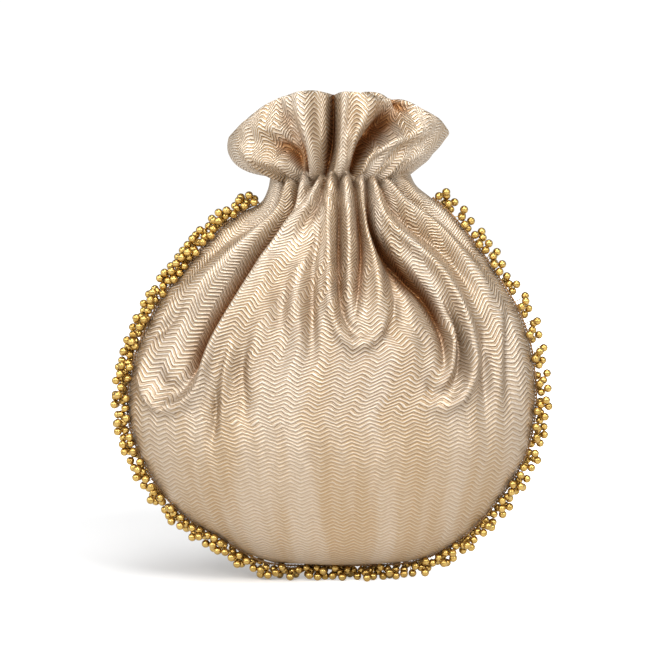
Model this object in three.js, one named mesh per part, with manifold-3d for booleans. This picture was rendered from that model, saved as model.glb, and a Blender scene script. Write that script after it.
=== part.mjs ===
// A potli bag: a round drawstring pouch, drawn shut at the neck, with a frill above the neck
// and small metal beads sewn in clusters along its seam. It stands on the lowest clusters.
//
// Millimetres. +Z is up, +X is to the right of someone facing the front, and -Y is the front.
// The origin is on the surface that the bag stands on, under the middle of its bounding box.
//
// The pieces: front_panel and back_panel (one cut of cloth each, with body, neck and frill),
// neck_drawcord (inside the neck's casing), trim_cord (sewn along the seam) and the bead clusters.
import * as THREE from "three";
import { mergeVertices } from "three/addons/utils/BufferGeometryUtils.js";
import Module from "manifold-3d";

const wasm = await Module();
wasm.setup();

// ---- Driving dimensions -------------------------------------------------------------------

// The seam's route seen from the front, as [x, z], from the neck's left side, round the bottom
// and up to the neck's right side. The trim cord's centre follows it.
const SEAM = [
  [-33, 170.8], [-42, 166], [-54, 156], [-67, 140.5], [-77, 128], [-86, 110], [-91, 95],
  [-92.6, 80], [-91, 67], [-84.5, 51], [-76, 38], [-66, 28], [-52, 19.5], [-39, 11.5],
  [-26, 6.8], [0, 6.3], [27, 6.7], [42, 9.5], [56, 16.5], [68, 27.5], [79.5, 42],
  [88, 58], [92, 80], [90, 104], [84.5, 121], [75.5, 136.5], [64.5, 152], [52.5, 166.5], [45, 173],
];
const SEAM_STEPS = 16; // samples between two points of the seam

const PANEL_INSET = 1.4; // the panels' edges lie this far inside the trim cord's centre
const PANEL_GAP = 0.3; // between the two panels, where they are sewn together
const SEAM_EDGE = 1.0; // how thick each panel is at its sewn edge
const PANEL_COLUMNS = 24;
const BODY_ROWS = 14;
const NECK_ROWS = 3;
const FRILL_ROWS = 5;

const BASE_Z = 7.8; // underside of the cloth, flattened by the bag's own weight
const BODY_TOP_Z = 167; // where the body meets the neck
const BODY_DEPTH = 34; // half the filled bag's thickness
const SHOULDER_DEPTH = 20; // the same where the body meets the neck
const DEEPEST_Z = 74;
const LEVEL_SPREAD = 0.8 * Math.PI; // levels lie closer together towards the underside
const BASE_DEPTH = 8; // half the depth of the flattened underside
const BELLY_POWER = 2.2; // how round the lower half is from top to bottom
const SHOULDER_POWER = 1.2; // how fast the upper half thins
const BODY_FULLNESS = 1.35; // 1 is an ellipse in plan, 2 is a sharp-edged lens

const NECK = { left: -28, right: 35, depth: 17, bottom: 173, top: 186 };
const FRILL = { left: -45, right: 51, depth: 31, top: 220, thickness: 2 };
const FRILL_FLARE = 0.8; // below 1, most of the spread comes just above the neck
const SIDE_WALL = 0.7; // the frill's wall at its two ends, as a share of its thickness
const FRILL_DROOP = { by: 17, power: 2.5 }; // the two ends hang lower than the middle
const FRILL_LOBES = { count: 8, depth: 0.14 }; // folds of the mouth; their depth is a share
const FLUTES = 12; // gathers round the whole neck
const FLUTE_DEPTH = 0.11; // share of the neck's depth
const FLUTES_FROM_Z = 110; // the gathers die out down to here
const FLUTE_POWER = 1.5;

const DRAWCORD_RADIUS = 1.5;
const DRAWCORD_CLEARANCE = 0.35;
const DRAWCORD_Z = 180.5;
const DRAWCORD_INSET = 5.5; // from the neck's outer face to the cord's centre
const DRAWCORD_TURNS = 18;

const TRIM_RADIUS = 0.6;
const TRIM_STEPS = 64;

const BEAD_RADIUS = 1.95;
const BEAD_FACETS = [6, 4]; // round and from pole to pole
const CLUSTERS = 42;
const BEAD_SPACING = 1.7; // between touching beads' centres, in bead radii: a sewn cluster is tight
const DANGLE_SPACING = 1.55; // the same between a tip bead and the one that dangles from it
const DANGLE_WAY = { along: 0.4, aside: 0.62, out: 0.35 }; // the way it dangles
const DANGLE_TURN = 1.9; // radians of change along the seam from cluster to cluster
const RING_HEIGHT = 2.9; // from the trim cord's centre out to a cluster's ring of beads
const STEM_RADIUS = 0.4;
const STEM_START = 1.0; // the stem stops short of the trim cord's centre
const GOLDEN_ANGLE = Math.PI * (3 - Math.sqrt(5));
const RESTING_Z = 10.5; // clusters whose seam point is lower than this lie on the table
const RESTING_BEADS = 5; // in the row under the seam, from front to back
const RESTING_ZIGZAG = 0.42; // share of a bead's radius that the row wavers by

// ---- Small helpers ------------------------------------------------------------------------

const lerp = (a, b, t) => a + (b - a) * t;
const smooth = (t) => t * t * (3 - 2 * t);
const clamp01 = (t) => Math.min(1, Math.max(0, t));

// A three.js geometry as a manifold-3d solid.
function solid(geometry) {
  const bare = geometry.clone();
  bare.deleteAttribute("normal");
  bare.deleteAttribute("uv");
  const merged = mergeVertices(bare, 1e-4);
  return new wasm.Manifold(
    new wasm.Mesh({
      numProp: 3,
      vertProperties: merged.attributes.position.array,
      triVerts: new Uint32Array(merged.index.array),
    }),
  );
}

// A manifold-3d solid as a three.js geometry.
function geometryOf(manifold) {
  const mesh = manifold.getMesh();
  const geometry = new THREE.BufferGeometry();
  geometry.setAttribute("position", new THREE.BufferAttribute(mesh.vertProperties, mesh.numProp));
  geometry.setIndex(new THREE.BufferAttribute(mesh.triVerts, 1));
  geometry.computeVertexNormals();
  return geometry;
}

function namedMesh(name, geometry, material) {
  const mesh = new THREE.Mesh(geometry, material);
  mesh.name = name;
  return mesh;
}

// ---- The seam -----------------------------------------------------------------------------

// The seam as evenly numbered samples: a Catmull-Rom curve through its points.
const seamCurve = new THREE.CatmullRomCurve3(
  SEAM.map(([x, z]) => new THREE.Vector3(x, 0, z)),
  false,
  "catmullrom",
  0.5,
);
const seamPoints = seamCurve.getPoints((SEAM.length - 1) * SEAM_STEPS);
const seamLengths = [0];
for (let i = 1; i < seamPoints.length; i++) {
  seamLengths.push(seamLengths[i - 1] + seamPoints[i].distanceTo(seamPoints[i - 1]));
}
const seamLength = seamLengths.at(-1);

// The point at a share of the seam's length, with the seam's direction and its outward normal.
function seamAt(share) {
  const wanted = share * seamLength;
  let i = 1;
  while (i < seamLengths.length - 1 && seamLengths[i] < wanted) i++;
  const t = (wanted - seamLengths[i - 1]) / (seamLengths[i] - seamLengths[i - 1]);
  const point = seamPoints[i - 1].clone().lerp(seamPoints[i], t);
  const along = seamPoints[i].clone().sub(seamPoints[i - 1]).normalize();
  const outward = new THREE.Vector3(along.z, 0, -along.x);
  return { point, along, outward };
}

// The panels' sewn edge, just inside the trim cord, as a left and a right side that both go up.
const edgePoints = seamPoints.map((p, i) => {
  const next = seamPoints[Math.min(i + 1, seamPoints.length - 1)];
  const previous = seamPoints[Math.max(i - 1, 0)];
  const along = next.clone().sub(previous).setLength(PANEL_INSET);
  return new THREE.Vector3(p.x - along.z, 0, p.z + along.x);
});
const lowest = edgePoints.reduce((best, p, i) => (p.z < edgePoints[best].z ? i : best), 0);
const leftSide = edgePoints.slice(0, lowest + 1).reverse();
const rightSide = edgePoints.slice(lowest);

// How far out one side of the panels' edge is at a height.
function sideAt(side, z) {
  let i = 1;
  while (i < side.length - 1 && side[i].z < z) i++;
  const rise = side[i].z - side[i - 1].z;
  const t = rise > 1e-6 ? clamp01((z - side[i - 1].z) / rise) : 1;
  return lerp(side[i - 1].x, side[i].x, t);
}

// ---- The panels ---------------------------------------------------------------------------

// Half the bag's thickness at a height of the body, from its flattened underside to the neck.
function bodyDepth(z) {
  if (z < DEEPEST_Z) {
    const t = (DEEPEST_Z - z) / (DEEPEST_Z - BASE_Z);
    return lerp(BASE_DEPTH, BODY_DEPTH, Math.sqrt(1 - t ** BELLY_POWER));
  }
  const t = (z - DEEPEST_Z) / (BODY_TOP_Z - DEEPEST_Z);
  return lerp(BODY_DEPTH, SHOULDER_DEPTH, smooth(t) ** SHOULDER_POWER);
}

// One level of the body: its height, its two ends, its depth and the strength of its gathers.
function bodyLevel(t) {
  const level = lerp(BASE_Z, BODY_TOP_Z, (1 - Math.cos(LEVEL_SPREAD * t)) / (1 - Math.cos(LEVEL_SPREAD)));
  return {
    z: level,
    left: sideAt(leftSide, level),
    right: sideAt(rightSide, level),
    depth: bodyDepth(level),
    fullness: BODY_FULLNESS,
    flutes: FLUTE_DEPTH * clamp01((level - FLUTES_FROM_Z) / (BODY_TOP_Z - FLUTES_FROM_Z)) ** FLUTE_POWER,
  };
}

function neckLevel(t) {
  return {
    z: lerp(NECK.bottom, NECK.top, t),
    left: NECK.left,
    right: NECK.right,
    depth: NECK.depth,
    fullness: 1,
    flutes: FLUTE_DEPTH,
  };
}

// A point of a level's outer face. The turn goes from the left end (pi) to the right end (0).
function levelPoint(level, turn) {
  const middle = (level.left + level.right) / 2;
  const half = (level.right - level.left) / 2;
  const flute = 1 + level.flutes * Math.cos(FLUTES * turn);
  const round = Math.sin(turn) ** level.fullness;
  return new THREE.Vector3(
    middle + half * Math.cos(turn),
    -PANEL_GAP / 2 - SEAM_EDGE - (level.depth - SEAM_EDGE) * round * flute,
    level.z,
  );
}

// A point of the frill's outer face, which flares and falls into lobes above the neck.
function frillPoint(rise, turn) {
  const spread = Math.sin((rise * Math.PI) / 2) ** FRILL_FLARE;
  const left = lerp(NECK.left, FRILL.left, spread);
  const right = lerp(NECK.right, FRILL.right, spread);
  const side = Math.abs(Math.cos(turn)) ** FRILL_DROOP.power;
  const height = FRILL.top - FRILL_DROOP.by * side - NECK.top;
  const gathers = FLUTE_DEPTH * (1 - rise) * Math.cos(FLUTES * turn);
  const lobe = 1 + gathers + FRILL_LOBES.depth * spread * Math.cos(FRILL_LOBES.count * turn);
  const depth = lerp(NECK.depth, FRILL.depth, spread);
  return new THREE.Vector3(
    (left + right) / 2 + ((right - left) / 2) * Math.cos(turn),
    -PANEL_GAP / 2 - SEAM_EDGE - (depth - SEAM_EDGE) * Math.sin(turn) * lobe,
    NECK.top + height * rise,
  );
}

// The inner face behind an outer point of the frill, one thickness of folded cloth inwards.
function insideOfFrill(outer, turn, rise) {
  const openness = clamp01(rise * FRILL_ROWS);
  const behind = lerp(-outer.y, FRILL.thickness, openness);
  const inwards = FRILL.thickness * SIDE_WALL * Math.cos(turn) * rise;
  return new THREE.Vector3(outer.x - inwards, Math.min(-PANEL_GAP / 2, outer.y + behind), outer.z);
}

// The closed skin between a grid of outer points and a grid of inner points.
function skinBetween(outer, inner) {
  const rows = outer.length;
  const columns = outer[0].length;
  const points = [...outer.flat(), ...inner.flat()];
  const front = (r, c) => r * columns + c;
  const back = (r, c) => rows * columns + r * columns + c;
  const faces = [];
  const quad = (a, b, c, d) => faces.push(a, b, c, a, c, d);
  for (let r = 0; r < rows - 1; r++) {
    for (let c = 0; c < columns - 1; c++) {
      quad(front(r, c), front(r, c + 1), front(r + 1, c + 1), front(r + 1, c));
      quad(back(r, c), back(r + 1, c), back(r + 1, c + 1), back(r, c + 1));
    }
    quad(front(r, 0), front(r + 1, 0), back(r + 1, 0), back(r, 0));
    quad(front(r, columns - 1), back(r, columns - 1), back(r + 1, columns - 1), front(r + 1, columns - 1));
  }
  for (let c = 0; c < columns - 1; c++) {
    quad(front(0, c), back(0, c), back(0, c + 1), front(0, c + 1));
    quad(front(rows - 1, c), front(rows - 1, c + 1), back(rows - 1, c + 1), back(rows - 1, c));
  }
  const geometry = new THREE.BufferGeometry().setFromPoints(points);
  geometry.setIndex(faces);
  return geometry;
}

// The front panel: solid where the bag is filled and drawn shut, a wall where the frill is open.
function frontPanel() {
  const outer = [];
  const inner = [];
  const turns = Array.from({ length: PANEL_COLUMNS + 1 }, (_, c) => Math.PI * (1 - c / PANEL_COLUMNS));
  const levels = [
    ...Array.from({ length: BODY_ROWS }, (_, r) => bodyLevel(r / (BODY_ROWS - 1))),
    ...Array.from({ length: NECK_ROWS }, (_, r) => neckLevel(r / (NECK_ROWS - 1))),
  ];
  for (const level of levels) {
    const row = turns.map((turn) => levelPoint(level, turn));
    outer.push(row);
    inner.push(row.map((p) => new THREE.Vector3(p.x, -PANEL_GAP / 2, p.z)));
  }
  for (let r = 1; r <= FRILL_ROWS; r++) {
    const rise = r / FRILL_ROWS;
    const row = turns.map((turn) => frillPoint(rise, turn));
    outer.push(row);
    inner.push(row.map((p, c) => insideOfFrill(p, turns[c], rise)));
  }
  return solid(skinBetween(outer, inner));
}

// ---- The drawcord and its casing ------------------------------------------------------------

// A closed ring of cord round the inside of the neck.
function drawcordRing(radius) {
  const half = (NECK.right - NECK.left) / 2 - DRAWCORD_INSET;
  const deep = NECK.depth - DRAWCORD_INSET;
  const middle = (NECK.left + NECK.right) / 2;
  const route = Array.from({ length: DRAWCORD_TURNS }, (_, i) => {
    const turn = (2 * Math.PI * i) / DRAWCORD_TURNS;
    return new THREE.Vector3(middle + half * Math.cos(turn), deep * Math.sin(turn), DRAWCORD_Z);
  });
  const path = new THREE.CatmullRomCurve3(route, true);
  return new THREE.TubeGeometry(path, 2 * DRAWCORD_TURNS, radius, 6, true);
}

// ---- The seam's trim ------------------------------------------------------------------------

function trimCord() {
  const path = new THREE.CatmullRomCurve3(
    Array.from({ length: TRIM_STEPS + 1 }, (_, i) => seamAt(i / TRIM_STEPS).point),
    false,
    "catmullrom",
    0.5,
  );
  const section = new THREE.Shape(
    Array.from({ length: 6 }, (_, i) => {
      const turn = (Math.PI * i) / 3;
      return new THREE.Vector2(TRIM_RADIUS * Math.cos(turn), TRIM_RADIUS * Math.sin(turn));
    }),
  );
  return new THREE.ExtrudeGeometry(section, { steps: TRIM_STEPS, extrudePath: path, bevelEnabled: false });
}

const beadShape = new THREE.SphereGeometry(BEAD_RADIUS, ...BEAD_FACETS).rotateX(Math.PI / 2);
const bead = solid(beadShape);

// The places of a hanging cluster's beads, as [along the seam, towards the back, outwards]:
// a ring of three, a tip bead on the ring and, on every other cluster, one that dangles.
function hangingBeads(index) {
  const step = BEAD_SPACING * BEAD_RADIUS;
  const ringRadius = step / Math.sqrt(3);
  const beads = [];
  for (let k = 0; k < 3; k++) {
    const turn = index * GOLDEN_ANGLE + (2 * Math.PI * k) / 3;
    beads.push([ringRadius * Math.cos(turn), ringRadius * Math.sin(turn), RING_HEIGHT]);
  }
  const tip = RING_HEIGHT + Math.sqrt(step ** 2 - ringRadius ** 2);
  beads.push([0, 0, tip]);
  if (index % 2 === 0) {
    const lean = DANGLE_WAY.along * Math.cos(index * DANGLE_TURN);
    const side = index % 4 === 0 ? -DANGLE_WAY.aside : DANGLE_WAY.aside;
    const way = new THREE.Vector3(lean, side, DANGLE_WAY.out).setLength(DANGLE_SPACING * BEAD_RADIUS);
    beads.push([way.x, way.y, tip + way.z]);
  }
  return beads;
}

// The places of a resting cluster's beads, in the bag's frame: a row on the table from front to
// back, under the seam.
function restingBeads(index, point) {
  const step = BEAD_SPACING * BEAD_RADIUS;
  const waver = RESTING_ZIGZAG * BEAD_RADIUS;
  const pitch = Math.sqrt(step ** 2 - (2 * waver) ** 2);
  const flip = index % 2 === 0 ? 1 : -1;
  return Array.from({ length: RESTING_BEADS }, (_, k) => {
    const way = k - (RESTING_BEADS - 1) / 2;
    return new THREE.Vector3(point.x + (k % 2 === 0 ? flip : -flip) * waver, way * pitch, BEAD_RADIUS);
  });
}

// A short stem of thread from just outside the trim cord to a bead.
function stem(from, to) {
  const way = to.clone().sub(from);
  const geometry = new THREE.CylinderGeometry(STEM_RADIUS, STEM_RADIUS, way.length(), 4);
  geometry.translate(0, way.length() / 2, 0);
  geometry.applyQuaternion(
    new THREE.Quaternion().setFromUnitVectors(new THREE.Vector3(0, 1, 0), way.clone().normalize()),
  );
  geometry.translate(from.x, from.y, from.z);
  return solid(geometry);
}

function beadCluster(index) {
  const { point, along, outward } = seamAt((index + 0.5) / CLUSTERS);
  const resting = point.z < RESTING_Z;
  const hang = resting ? new THREE.Vector3(0, 0, -1) : outward;
  const centres = resting
    ? restingBeads(index, point)
    : hangingBeads(index).map(([a, b, h]) =>
        point.clone().addScaledVector(along, a).addScaledVector(outward, h).add(new THREE.Vector3(0, b, 0)),
      );
  const ringCentre = point.clone().addScaledVector(outward, RING_HEIGHT);
  const tied = resting ? centres[(RESTING_BEADS - 1) / 2] : ringCentre;
  let cluster = stem(point.clone().addScaledVector(hang, STEM_START), tied);
  for (const centre of centres) cluster = cluster.add(bead.translate(...centre.toArray()));
  return cluster;
}

// ---- Assembly -------------------------------------------------------------------------------

const cloth = new THREE.MeshStandardMaterial({ color: 0xcdb594, roughness: 0.42, metalness: 0.55 });
const cord = new THREE.MeshStandardMaterial({ color: 0xb79a6c, roughness: 0.8, metalness: 0 });
const thread = new THREE.MeshStandardMaterial({ color: 0x6b4a1e, roughness: 0.7, metalness: 0.1 });
const gold = new THREE.MeshStandardMaterial({ color: 0xc8962e, roughness: 0.22, metalness: 1 });

const bag = new THREE.Group();
bag.name = "potli_bag";

const casing = solid(drawcordRing(DRAWCORD_RADIUS + DRAWCORD_CLEARANCE));
const panel = frontPanel();
bag.add(namedMesh("front_panel", geometryOf(panel.subtract(casing)), cloth));
bag.add(namedMesh("back_panel", geometryOf(panel.mirror([0, 1, 0]).subtract(casing)), cloth));
bag.add(namedMesh("neck_drawcord", geometryOf(solid(drawcordRing(DRAWCORD_RADIUS))), cord));
bag.add(namedMesh("trim_cord", trimCord(), thread));

for (let index = 0; index < CLUSTERS; index++) {
  const name = `bead_cluster_${String(index + 1).padStart(2, "0")}`;
  bag.add(namedMesh(name, geometryOf(beadCluster(index)), gold));
}

export default bag;
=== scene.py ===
"""A potli bag, drawn shut: gathered metallic cloth, an open frill and gold beads sewn along the seam.

Shapes are worked out in millimetres and turned into metres when a mesh is made. +Z is up, +X is to
the right of someone facing the front panel, and -Y is the front.
"""

import logging
import math
from dataclasses import dataclass
from enum import Enum
from typing import Any, NamedTuple, Optional, Sequence, Union

import bpy
import numpy as np
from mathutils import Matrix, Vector


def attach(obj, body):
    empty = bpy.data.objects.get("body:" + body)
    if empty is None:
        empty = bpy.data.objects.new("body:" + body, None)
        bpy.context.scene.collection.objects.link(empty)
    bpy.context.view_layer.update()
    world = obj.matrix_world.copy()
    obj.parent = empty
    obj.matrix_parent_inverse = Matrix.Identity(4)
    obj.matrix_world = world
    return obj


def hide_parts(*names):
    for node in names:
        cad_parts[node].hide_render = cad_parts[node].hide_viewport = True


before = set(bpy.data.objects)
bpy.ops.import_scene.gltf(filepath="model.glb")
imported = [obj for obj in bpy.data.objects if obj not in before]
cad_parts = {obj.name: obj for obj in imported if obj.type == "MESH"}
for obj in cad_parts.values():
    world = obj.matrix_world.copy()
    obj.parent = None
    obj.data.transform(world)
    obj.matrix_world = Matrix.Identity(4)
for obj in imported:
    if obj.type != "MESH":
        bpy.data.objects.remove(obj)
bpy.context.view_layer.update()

LOG = logging.getLogger("potli_bag")
MM = 0.001
Points = np.ndarray
Number = Union["Shade", float]
Numbers = tuple[float, ...]
Colour = tuple[float, float, float]
Route = tuple[tuple[float, float], ...]


# ---- Small geometry helpers -----------------------------------------------------------------


def smoothstep(low: float, high: float, x: Any) -> Any:
    """Rises smoothly from 0 at low to 1 at high."""
    t = np.clip((np.asarray(x, float) - low) / (high - low), 0.0, 1.0)
    return t * t * (3.0 - 2.0 * t)


def spline(points: Sequence[Sequence[float]], steps: int) -> Points:
    """A uniform Catmull-Rom curve through points.

    Args:
        points: The points that it passes through, in any number of dimensions.
        steps: The samples from one point to the next.

    Returns:
        The samples, one a row, with both ends.
    """
    p = np.asarray(points, float)
    padded = np.vstack([2 * p[0] - p[1], p, 2 * p[-1] - p[-2]])
    t = (np.arange(steps) / steps)[:, None]
    rows = []
    for a, b, c, d in zip(padded, padded[1:], padded[2:], padded[3:]):
        m, n = 0.5 * (c - a), 0.5 * (d - b)
        rows.append(b + m * t + (3 * (c - b) - 2 * m - n) * t**2 + (2 * (b - c) + m + n) * t**3)
    return np.vstack([*rows, p[-1:]])


def lengths_along(line: Points) -> Points:
    """The distance from a polyline's start to each of its points."""
    steps = np.linalg.norm(np.diff(line, axis=0), axis=1)
    return np.concatenate([[0.0], np.cumsum(steps)])


def sample(line: Points, distances: Any) -> Points:
    """The points at given distances along a polyline."""
    at = lengths_along(line)
    return np.stack([np.interp(distances, at, line[:, k]) for k in range(line.shape[1])], axis=-1)


def unit(vectors: Points) -> Points:
    """Vectors at length 1."""
    return vectors / np.maximum(np.linalg.norm(vectors, axis=-1, keepdims=True), 1e-12)


def grid_normals(grid: Points) -> Points:
    """The unit normals of a grid of points, towards right cross up."""
    right = np.gradient(grid, axis=1)
    up = np.gradient(grid, axis=0)
    return unit(np.cross(right, up))


# ---- Shader helpers -------------------------------------------------------------------------


class Shade:
    """A shader socket that can be used in arithmetic."""

    def __init__(self, graph: "Graph", socket: Any) -> None:
        """Wraps a node's output socket of a graph."""
        self.graph = graph
        self.socket = socket

    def __add__(self, other: Number) -> "Shade":
        """self + other."""
        return self.graph.math("ADD", self, other)

    def __radd__(self, other: Number) -> "Shade":
        """other + self."""
        return self.graph.math("ADD", other, self)

    def __sub__(self, other: Number) -> "Shade":
        """self - other."""
        return self.graph.math("SUBTRACT", self, other)

    def __rsub__(self, other: Number) -> "Shade":
        """other - self."""
        return self.graph.math("SUBTRACT", other, self)

    def __mul__(self, other: Number) -> "Shade":
        """self * other."""
        return self.graph.math("MULTIPLY", self, other)

    def __rmul__(self, other: Number) -> "Shade":
        """other * self."""
        return self.graph.math("MULTIPLY", other, self)

    def __truediv__(self, other: Number) -> "Shade":
        """self / other."""
        return self.graph.math("DIVIDE", self, other)

    def __rtruediv__(self, other: Number) -> "Shade":
        """other / self."""
        return self.graph.math("DIVIDE", other, self)


class Graph:
    """The nodes of one material or world."""

    # The places of the colour sockets on a Mix node, whose names are shared with other sockets.
    MIX_A = 6
    MIX_B = 7
    MIX_RESULT = 2

    def __init__(self, owner: Union[bpy.types.Material, bpy.types.World]) -> None:
        """Empties the nodes of a material or world."""
        self.owner = owner
        self.owner.use_nodes = True
        self.tree = owner.node_tree
        self.tree.nodes.clear()

    @classmethod
    def material(cls, name: str) -> "Graph":
        """Starts a new material."""
        return cls(bpy.data.materials.new(name))

    def node(
        self,
        kind: str,
        settings: Optional[dict[str, Any]] = None,
        sockets: Optional[dict[Any, Any]] = None,
        output: Any = 0,
    ) -> Shade:
        """Adds one node.

        Args:
            kind: The node's type.
            settings: Its properties, set first.
            sockets: The value or link of each input, by name or number.
            output: The output to wrap, by name or number.

        Returns:
            The wrapped output, which is empty for a node without one.
        """
        made = self.tree.nodes.new(kind)
        for key, value in (settings or {}).items():
            setattr(made, key, value)
        for key, value in (sockets or {}).items():
            if isinstance(value, Shade):
                self.tree.links.new(value.socket, made.inputs[key])
            else:
                made.inputs[key].default_value = value
        return Shade(self, made.outputs[output] if made.outputs else None)

    def math(self, operation: str, a: Number, b: Number = 0.0) -> Shade:
        """A Math node of two values."""
        return self.node("ShaderNodeMath", {"operation": operation}, {0: a, 1: b})

    def mix(self, share: Number, a: Any, b: Any, blend: str = "MIX") -> Shade:
        """Mixes two colours.

        Args:
            share: The second colour's share.
            a: The first colour, as a link or three numbers.
            b: The second colour, likewise.
            blend: How they are mixed.

        Returns:
            The mixed colour.
        """
        inputs = {
            "Factor": share,
            self.MIX_A: a if isinstance(a, Shade) else (*a, 1.0),
            self.MIX_B: b if isinstance(b, Shade) else (*b, 1.0),
        }
        settings = {"data_type": "RGBA", "blend_type": blend}
        return self.node("ShaderNodeMix", settings, inputs, self.MIX_RESULT)

    def ramp(self, value: Shade, low: float, high: float) -> Shade:
        """Rises smoothly from 0 to 1 as a value goes from low to high."""
        inputs = {"Value": value, "From Min": low, "From Max": high, "To Min": 0.0, "To Max": 1.0}
        return self.node("ShaderNodeMapRange", {"interpolation_type": "SMOOTHSTEP"}, inputs)

    def band(self, value: Shade, centre: float, core: float, edge: float) -> Shade:
        """Is 1 within core of a centre and falls smoothly to 0 at edge."""
        return 1.0 - self.ramp(self.math("ABSOLUTE", value - centre), core, edge)

    def noise(self, vector: Shade, scale: float = 1.0, detail: float = 2.0) -> Shade:
        """A noise value, about 0.5 on average."""
        return self.node("ShaderNodeTexNoise", {}, {"Vector": vector, "Scale": scale, "Detail": detail})

    def vector(self, x: Number, y: Number, z: Number = 0.0) -> Shade:
        """A vector of three values."""
        return self.node("ShaderNodeCombineXYZ", {}, {"X": x, "Y": y, "Z": z})

    def part(self, vector: Shade, axis: str) -> Shade:
        """The X, Y or Z of a vector."""
        return self.node("ShaderNodeSeparateXYZ", {}, {"Vector": vector}, axis)

    def bump(self, height: Shade, distance: float, strength: float = 1.0) -> Shade:
        """A normal that follows a height, at a distance in metres."""
        return self.node("ShaderNodeBump", {}, {"Strength": strength, "Distance": distance, "Height": height})

    def principled(self, **sockets: Any) -> bpy.types.Material:
        """Joins a Principled shader to the output, its sockets named with _ for each space."""
        named = {key.replace("_", " "): value for key, value in sockets.items()}
        return self.finish(self.node("ShaderNodeBsdfPrincipled", {}, named), "ShaderNodeOutputMaterial")

    def finish(self, shader: Shade, kind: str) -> Any:
        """Joins a shader to an output node of a kind and returns the material or world."""
        self.node(kind, {}, {"Surface": shader})
        return self.owner


# ---- Finishes -------------------------------------------------------------------------------


class Drift(NamedTuple):
    """A noise that shifts the rows of the weave: its scale per millimetre and its shifts in millimetres."""

    scale: float
    across: float
    up: float


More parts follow.
